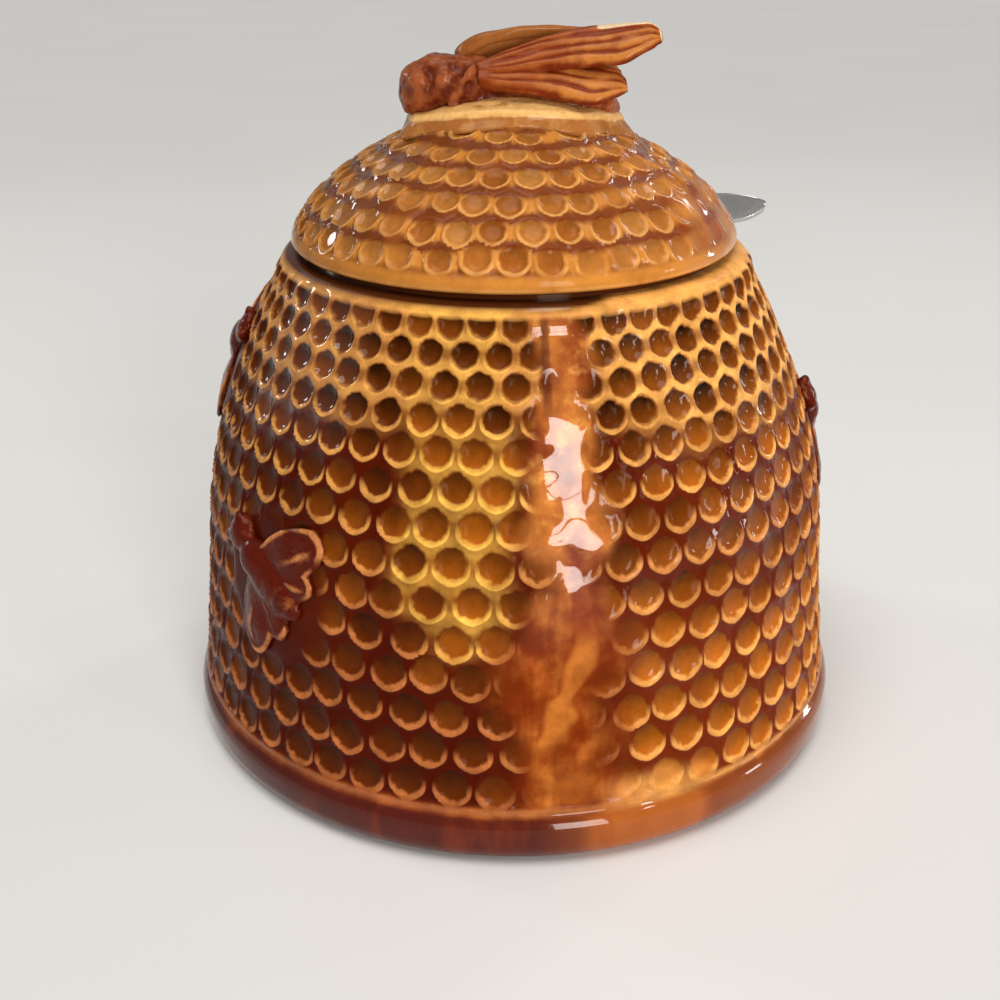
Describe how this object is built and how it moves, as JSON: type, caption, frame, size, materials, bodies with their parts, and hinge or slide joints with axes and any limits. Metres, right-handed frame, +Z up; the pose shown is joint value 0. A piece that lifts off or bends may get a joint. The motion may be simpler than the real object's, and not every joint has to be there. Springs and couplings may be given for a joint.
{
  "type": "beehive honey pot with lift-off lid and spoon",
  "caption": "Honey-glazed ceramic pot shaped like a beehive, with a bee-topped lid that lifts off and a metal spoon whose handle leaves through a notch in the lid",
  "frame": {"origin": "centre of the foot, on the surface that the pot stands on", "axes": "+Z up, -Y towards the front, where the bee on the lid is seen from its side with its head to the left"},
  "size_m": [0.1236, 0.1236, 0.1257],
  "materials": {
    "pot_glaze": "gloss",
    "lid_glaze": "gloss",
    "relief_glaze": "gloss",
    "bee_glaze": "gloss",
    "wing_glaze": "gloss",
    "spoon_steel": "polished"
  },
  "bodies": {
    "pot": {"pot_body": "pot_glaze", "relief_bee_front": "relief_glaze", "relief_bee_left": "relief_glaze", "relief_bee_right": "relief_glaze"},
    "lid": {"lid_shell": "lid_glaze", "finial_pad": "lid_glaze", "finial_bee_body": "bee_glaze", "finial_forewing_near": "wing_glaze", "finial_forewing_far": "wing_glaze", "finial_hindwing_near": "wing_glaze", "finial_hindwing_far": "wing_glaze"},
    "spoon": {"spoon": "spoon_steel"}
  },
  "joints": [
    {"name": "lid_lift", "type": "slide", "parent": "pot", "child": "lid", "axis": [0, 0, 1], "range_m": [0, 0.07]},
    {"name": "spoon_rock", "type": "hinge", "parent": "pot", "child": "spoon", "pos_m": [0.03702, 0.01348, 0.088], "axis": [-0.342, 0.9397, 0], "range_deg": [0, 12]}
  ]
}
